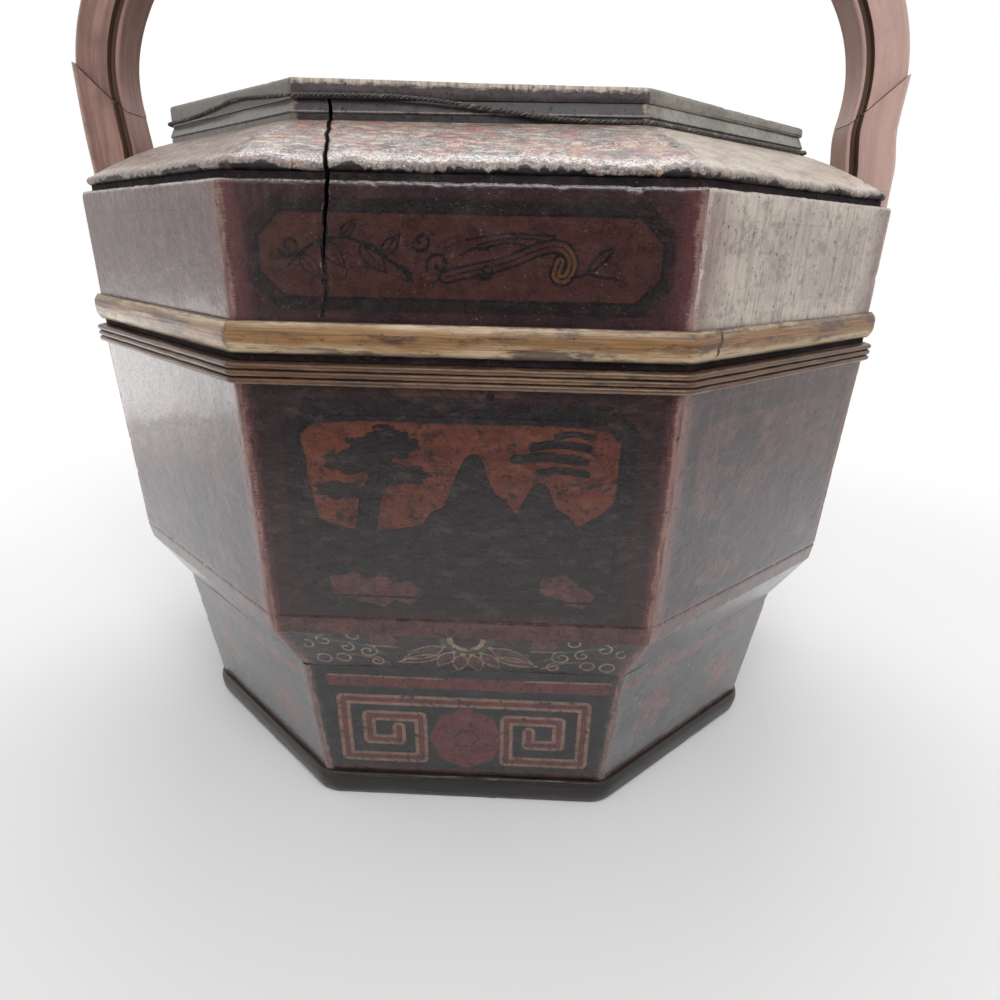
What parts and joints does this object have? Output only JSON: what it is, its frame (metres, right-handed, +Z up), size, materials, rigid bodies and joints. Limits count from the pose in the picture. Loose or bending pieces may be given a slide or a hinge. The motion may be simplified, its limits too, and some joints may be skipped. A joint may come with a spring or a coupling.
{
  "type": "wedding basket",
  "caption": "Octagonal lacquered wooden basket on a tapering foot, bound with split-bamboo bands, with a lift-off lid and a fixed arched handle.",
  "frame": {"origin": "on the floor, under the middle of the basket", "axes": "+Z up, front of the basket towards -Y, the handle arches over from -X to +X"},
  "size_m": [0.3772, 0.3258, 0.412],
  "materials": {
    "body_lacquer": "worn dark red and black lacquer with painted panels",
    "foot_lacquer": "worn blackish lacquer with a painted fret",
    "lid_lacquer": "worn dark red lacquer with painted panels",
    "shoulder_paint": "rubbed many-coloured paint over wood",
    "collar_lacquer": "dark lacquer with rubbed edges",
    "bamboo": "split bamboo under worn varnish",
    "bare_wood": "plain stained wood",
    "handle_wood": "smooth reddish-brown varnished wood",
    "peg_wood": "dark hardwood end grain",
    "cord": "dark twisted cord"
  },
  "bodies": {
    "base": {"foot_board_front": "foot_lacquer", "foot_board_front_right": "foot_lacquer", "foot_board_right": "foot_lacquer", "foot_board_back_right": "foot_lacquer", "foot_board_back": "foot_lacquer", "foot_board_back_left": "foot_lacquer", "foot_board_left": "foot_lacquer", "foot_board_front_left": "foot_lacquer", "foot_band": "bamboo", "body_wall_front": "body_lacquer", "body_wall_front_right": "body_lacquer", "body_wall_right": "body_lacquer", "body_wall_back_right": "body_lacquer", "body_wall_back": "body_lacquer", "body_wall_back_left": "body_lacquer", "body_wall_left": "body_lacquer", "body_wall_front_left": "body_lacquer", "floor_board": "bare_wood", "rim_strip_1": "bamboo", "rim_strip_2": "bamboo", "rim_strip_3": "bamboo", "inner_lip": "bare_wood", "handle_arch": "handle_wood", "handle_leg_right": "handle_wood", "handle_peg_right_1": "peg_wood", "handle_peg_right_2": "peg_wood", "handle_leg_left": "handle_wood", "handle_peg_left_1": "peg_wood", "handle_peg_left_2": "peg_wood"},
    "lid": {"lid_wall_front": "lid_lacquer", "lid_wall_front_right": "lid_lacquer", "lid_wall_right": "lid_lacquer", "lid_wall_back_right": "lid_lacquer", "lid_wall_back": "lid_lacquer", "lid_wall_back_left": "lid_lacquer", "lid_wall_left": "lid_lacquer", "lid_wall_front_left": "lid_lacquer", "lid_shoulder_front": "shoulder_paint", "lid_shoulder_front_right": "shoulder_paint", "lid_shoulder_right": "shoulder_paint", "lid_shoulder_back_right": "shoulder_paint", "lid_shoulder_back": "shoulder_paint", "lid_shoulder_back_left": "shoulder_paint", "lid_shoulder_left": "shoulder_paint", "lid_shoulder_front_left": "shoulder_paint", "lid_collar_front": "collar_lacquer", "lid_collar_front_right": "collar_lacquer", "lid_collar_right": "collar_lacquer", "lid_collar_back_right": "collar_lacquer", "lid_collar_back": "collar_lacquer", "lid_collar_back_left": "collar_lacquer", "lid_collar_left": "collar_lacquer", "lid_collar_front_left": "collar_lacquer", "lid_top_board": "collar_lacquer", "lid_band": "bamboo", "collar_cord": "cord"}
  },
  "joints": [
    {"name": "lid_lift", "type": "slide", "parent": "base", "child": "lid", "axis": [0, 0, 1], "range_m": [0, 0.07]}
  ]
}
